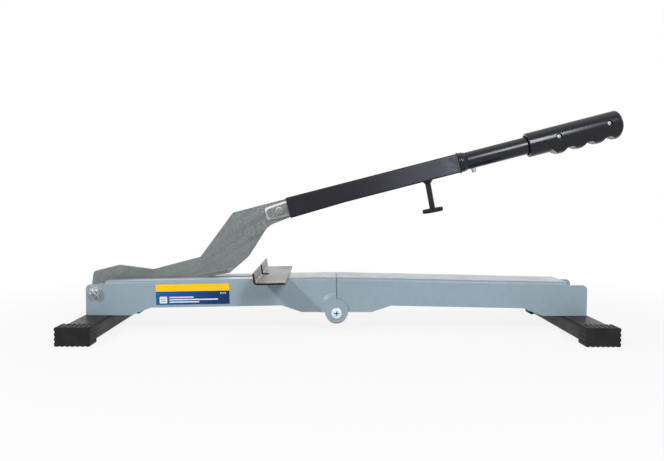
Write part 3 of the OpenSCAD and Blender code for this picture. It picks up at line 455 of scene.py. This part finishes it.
FINISHES = {
    PAINT: ["left_bed", "right_bed"],
    ARM_BLACK: ["handle_arm"],
    TUBE_BLACK: ["handle_tube", "handle_stub", "arm_collar", "stop_post"],
    BAR_BLACK: ["left_foot_bar", "right_foot_bar"],
    GRIP: ["front_grip_half", "rear_grip_half"],
    RUBBER: ["left_front_foot_cap", "left_rear_foot_cap", "right_front_foot_cap", "right_rear_foot_cap",
             "stop_pad"],
    ZINC: ["left_foot_rivets", "right_foot_rivets", "fence_nuts", "hinge_spacer", "hinge_washer",
           "hinge_nut", "pivot_washers", "pivot_spacers", "grip_screws", "grip_nuts", "snap_button",
           "button_leaf", "spring_leg"],
    NUT_ZINC: ["pivot_bolt", "pivot_nut"],
    SCREW: ["hinge_screw"],
    RIVET: ["doubler_rivet"],
    BLADE: ["blade"],
    DOUBLER: ["front_doubler", "rear_doubler"],
    FENCE: ["fence"],
    LABEL: ["side_label"],
    WASHER_GREY: ["blade_washers"],
}
for finish, names in FINISHES.items():
    for name in names:
        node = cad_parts[name]
        node.data.materials.clear()
        node.data.materials.append(finish)


# Mesh helpers
def new_object(name, bm):
    """An object from a bmesh in metres, in the scene."""
    mesh = bpy.data.meshes.new(name)
    bm.to_mesh(mesh)
    bm.free()
    obj = bpy.data.objects.new(name, mesh)
    bpy.context.scene.collection.objects.link(obj)
    return obj


def new_piece(name, bm, material, body, smooth=True):
    """A piece from a bmesh in millimetres, placed in the frame and riding on a body."""
    bmesh.ops.scale(bm, vec=(MM, MM, MM), verts=bm.verts)
    bmesh.ops.recalc_face_normals(bm, faces=bm.faces)
    obj = new_object(name, bm)
    for poly in obj.data.polygons:
        poly.use_smooth = smooth
    obj.data.materials.append(material)
    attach(obj, body)


def spoke(k, count, u=Vector(AXIS_X), v=Vector(AXIS_Z)):
    """The direction after k of count steps round a turn that starts at u and passes v."""
    a = 2 * math.pi * k / count
    return u * math.cos(a) + v * math.sin(a)


def swept(bm, centres, radii, turns, closed=False):
    """A tube through rings: each ring has a centre, a radius and its two axes."""
    rings = []
    for centre, radius, (u, v) in zip(centres, radii, turns):
        rings.append([bm.verts.new(centre + spoke(k, TUBE_SIDES, u, v) * radius) for k in range(TUBE_SIDES)])
    pairs = list(zip(rings, rings[1:]))
    if closed:
        pairs.append((rings[-1], rings[0]))
    for a, b in pairs:
        for k in range(TUBE_SIDES):
            j = (k + 1) % TUBE_SIDES
            bm.faces.new((a[k], a[j], b[j], b[k]))
    if not closed:
        bm.faces.new(rings[0][::-1])
        bm.faces.new(rings[-1])


def ripple(k, seed):
    """A small repeatable unevenness for the weld bead."""
    return 0.5 * math.sin(2.1 * k + seed) + 0.3 * math.sin(5.3 * k + 2.0 * seed)


def slab(bm, corners, thick, round_to, steps=5):
    """A thin plate on the label: corners are (u, z), from the hinge line and from the bed's top."""
    outline = []
    for i, (u, z) in enumerate(corners):
        if not round_to:
            outline.append((u, z))
            continue
        p, q = corners[i - 1], corners[(i + 1) % len(corners)]
        a = Vector((p[0] - u, p[1] - z)).normalized() * round_to
        b = Vector((q[0] - u, q[1] - z)).normalized() * round_to
        for k in range(steps + 1):
            t = k / steps
            from_a, from_b = (1 - t) ** 2, t * t
            outline.append((u + a.x * from_a + b.x * from_b, z + a.y * from_a + b.y * from_b))
    film_y = -WALL_Y - LABEL_T
    front = [bm.verts.new(top_point(u, film_y - thick, z)) for u, z in outline]
    back = [bm.verts.new(top_point(u, film_y, z)) for u, z in outline]
    bm.faces.new(front)
    bm.faces.new(back[::-1])
    for k in range(len(outline)):
        j = (k + 1) % len(outline)
        bm.faces.new((front[k], front[j], back[j], back[k]))


def printed(name, bars, material=WHITE, thick=PRINT_T, round_to=0.0):
    """Printed bars: left and down from the label's upper left corner, then length and height."""
    bm = bmesh.new()
    for left, down, length, height in bars:
        u, z = LABEL_NEAR + LABEL_LEN - left, -LABEL_DROP - down
        slab(bm, [(u, z), (u - length, z), (u - length, z - height), (u, z - height)], thick, round_to)
    new_piece(name, bm, material, "base", smooth=False)


def arm_end_weld(steps=96, ring_r=12.5, bead_r=1.45):
    """Weld bead between the arm's end and its collar."""
    centres, radii, turns = [], [], []
    for k in range(steps):
        out = spoke(k, steps, Vector(AXIS_Y), ACROSS)
        centres.append(arm_point(WELD_AT + 0.25 * ripple(k, 3.0)) + out * ring_r)
        radii.append(bead_r + 0.16 * ripple(k, 1.0))
        turns.append((out, ALONG))
    bm = bmesh.new()
    swept(bm, centres, radii, turns, closed=True)
    new_piece("arm_end_weld", bm, TUBE_BLACK, "lever")


def pivot_thread(start_y=-43.7, pitch=0.525, coils=4, steps=24, ring_r=3.75, crest_r=0.34):
    """Thread on the end of the pivot bolt."""
    outs = [spoke(k, steps) for k in range(coils * steps + 1)]
    centres = [PIVOT + out * ring_r + Vector((0.0, start_y + pitch * k / steps, 0.0))
               for k, out in enumerate(outs)]
    bm = bmesh.new()
    swept(bm, centres, [crest_r] * len(outs), [(out, Vector(AXIS_Y)) for out in outs])
    new_piece("pivot_thread", bm, ZINC, "base")


def lock_ring(name, centre, inner, outer, face, steps=40, crown=0.25, chamfer=0.15):
    """The plastic ring in the mouth of a lock nut. Its face looks along Y, to the side of face's sign."""
    profile = [(inner, 0.0), (inner + chamfer, face * crown), (outer - chamfer, face * crown), (outer, 0.0)]
    bm = bmesh.new()
    rings = [[bm.verts.new(centre + spoke(k, steps) * r + Vector((0.0, y, 0.0))) for r, y in profile]
             for k in range(steps)]
    for k, a in enumerate(rings):
        b = rings[(k + 1) % steps]
        for i in range(len(profile) - 1):
            bm.faces.new((a[i], a[i + 1], b[i + 1], b[i]))
    new_piece(name, bm, LOCK_RING, "base")


# Print on the label: a plain icon box, rules, a row of marks and lines in the box, with no words
printed("label_icon_box", [(4.6, 15.8, 9.6, 8.6)], round_to=1.2)
rules = [(17.0, 16.2 + 3.0 * row, length, 1.5) for row, length in enumerate((31.0, 62.0, 38.0))]
printed("label_rules", rules, round_to=0.5)
printed("label_marks", [(82.5 + 1.5 * k, 11.2, 0.7, 1.6 if k % 2 else 2.2) for k in range(5)])
printed("label_icon_lines", [(6.2, down, 6.4, 0.7) for down in (18.6, 21.2)], LABEL, ICON_LINE_T)

# The weld, the bolt's thread and the rings of the lock nuts
arm_end_weld()
pivot_thread()
pivot_nut_face = PIVOT - Vector((0.0, WALL_Y + PIVOT_WASHER_T + PIVOT_NUT_H, 0.0))
hinge_nut_face = Vector((-ORIGIN_X, HINGE_EAR_Y + HINGE_WASHER_T + HINGE_NUT_H, HINGE_Z))
lock_ring("pivot_lock_ring", pivot_nut_face, inner=4.1, outer=5.3, face=-1.0)
lock_ring("hinge_lock_ring", hinge_nut_face, inner=3.1, outer=4.2, face=1.0)


# Floor, light and camera
def shown_white(tree):
    """1 for the rays that show the background: camera, glossy and transmission rays."""
    rays = tree.nodes.new("ShaderNodeLightPath")
    total = rays.outputs["Is Camera Ray"]
    for kind in ("Is Glossy Ray", "Is Transmission Ray"):
        n = tree.nodes.new("ShaderNodeMath")
        n.operation = "MAXIMUM"
        tree.links.new(total, n.inputs[0])
        tree.links.new(rays.outputs[kind], n.inputs[1])
        total = n.outputs[0]
    return total


def lay_floor(half_size=30.0, z=-0.0003, near=0.35, far=0.75, near_share=0.86):
    """A floor that shows as white, with a faint share of its own shading near the object."""
    bm = bmesh.new()
    bmesh.ops.create_grid(bm, x_segments=2, y_segments=2, size=half_size)
    obj = new_object("floor", bm)
    obj.location = (0.0, 0.0, z)
    s = Shader("floor_white")
    s.set(Base_Color=(0.90, 0.90, 0.90), Roughness=0.9, Specular_IOR_Level=0.0)
    glow = s.node("ShaderNodeEmission")
    s.feed((1.0, 1.0, 1.0), glow.inputs["Color"])
    s.feed(1.0, glow.inputs["Strength"])
    reach = s.node("ShaderNodeVectorMath", operation="LENGTH")
    s.feed(s.coords, reach.inputs[0])
    white = s.spread(reach.outputs["Value"], near, far, near_share, 1.0)
    blend = s.node("ShaderNodeMixShader")
    s.feed(s.times(shown_white(s.tree), white), blend.inputs["Fac"])
    s.feed(s.bsdf.outputs["BSDF"], blend.inputs[1])
    s.feed(glow.outputs["Emission"], blend.inputs[2])
    s.feed(blend.outputs["Shader"], s.tree.nodes["Material Output"].inputs["Surface"])
    obj.data.materials.append(s.mat)


def light_world(dim=0.18, shown=1.0):
    """A world that lights the object dimly and shows as white."""
    world = bpy.data.worlds.new("studio")
    bpy.context.scene.world = world
    world.use_nodes = True
    tree = world.node_tree
    back = tree.nodes["Background"]
    back.inputs["Color"].default_value = (1.0, 1.0, 1.0, 1.0)
    level = tree.nodes.new("ShaderNodeMapRange")
    level.inputs["To Min"].default_value = dim
    level.inputs["To Max"].default_value = shown
    tree.links.new(shown_white(tree), level.inputs["Value"])
    tree.links.new(level.outputs["Result"], back.inputs["Strength"])


def lamp(name, place, aim, size, power):
    data = bpy.data.lights.new(name, "AREA")
    data.shape = "RECTANGLE"
    data.size, data.size_y = size
    data.energy = power
    obj = bpy.data.objects.new(name, data)
    obj.location = place
    obj.rotation_euler = (Vector(aim) - Vector(place)).to_track_quat("-Z", "Y").to_euler()
    bpy.context.scene.collection.objects.link(obj)
    return obj


def place_camera():
    """The camera, fitted to the photograph: its focal length in pixels, its eye and its turn."""
    focal_px, image_w, sensor_w = 704.4, 664, 36.0
    eye = Vector((-17.5 - ORIGIN_X, -930.5, 179.6)) * MM
    yaw, pitch, roll = math.radians(0.722), math.radians(3.136), math.radians(0.209)
    data = bpy.data.cameras.new("camera")
    data.sensor_fit = "HORIZONTAL"
    data.sensor_width = sensor_w
    data.lens = sensor_w * focal_px / image_w
    data.clip_start = 0.05
    data.clip_end = 50.0
    forward = Vector((math.sin(yaw) * math.cos(pitch), math.cos(yaw) * math.cos(pitch), -math.sin(pitch)))
    side = Vector((math.cos(yaw), -math.sin(yaw), 0.0))
    above = side.cross(forward)
    cam_x = side * math.cos(roll) + above * math.sin(roll)
    cam_y = above * math.cos(roll) - side * math.sin(roll)
    turn = Matrix((cam_x, cam_y, -forward)).transposed().to_4x4()
    cam = bpy.data.objects.new("camera", data)
    bpy.context.scene.collection.objects.link(cam)
    cam.matrix_world = Matrix.Translation(eye) @ turn
    bpy.context.scene.camera = cam


lay_floor()
light_world()
lamp("key_softbox", place=(-1.35, -1.75, 1.35), aim=(0.0, 0.0, 0.1), size=(0.22, 0.22), power=24.0)
lamp("side_softbox", place=(0.60, -1.85, 1.15), aim=(0.1, 0.0, 0.2), size=(0.24, 0.9), power=21.8)
lamp("top_softbox", place=(0.1, 0.2, 1.9), aim=(0.0, 0.0, 0.0), size=(2.2, 1.0), power=3.0)
back = lamp("back_softbox", place=(0.2, 2.2, 0.45), aim=(0.0, 0.0, 0.1), size=(4.5, 0.9), power=15.0)
back.visible_camera = False
place_camera()
bpy.context.scene.view_settings.view_transform = "Standard"
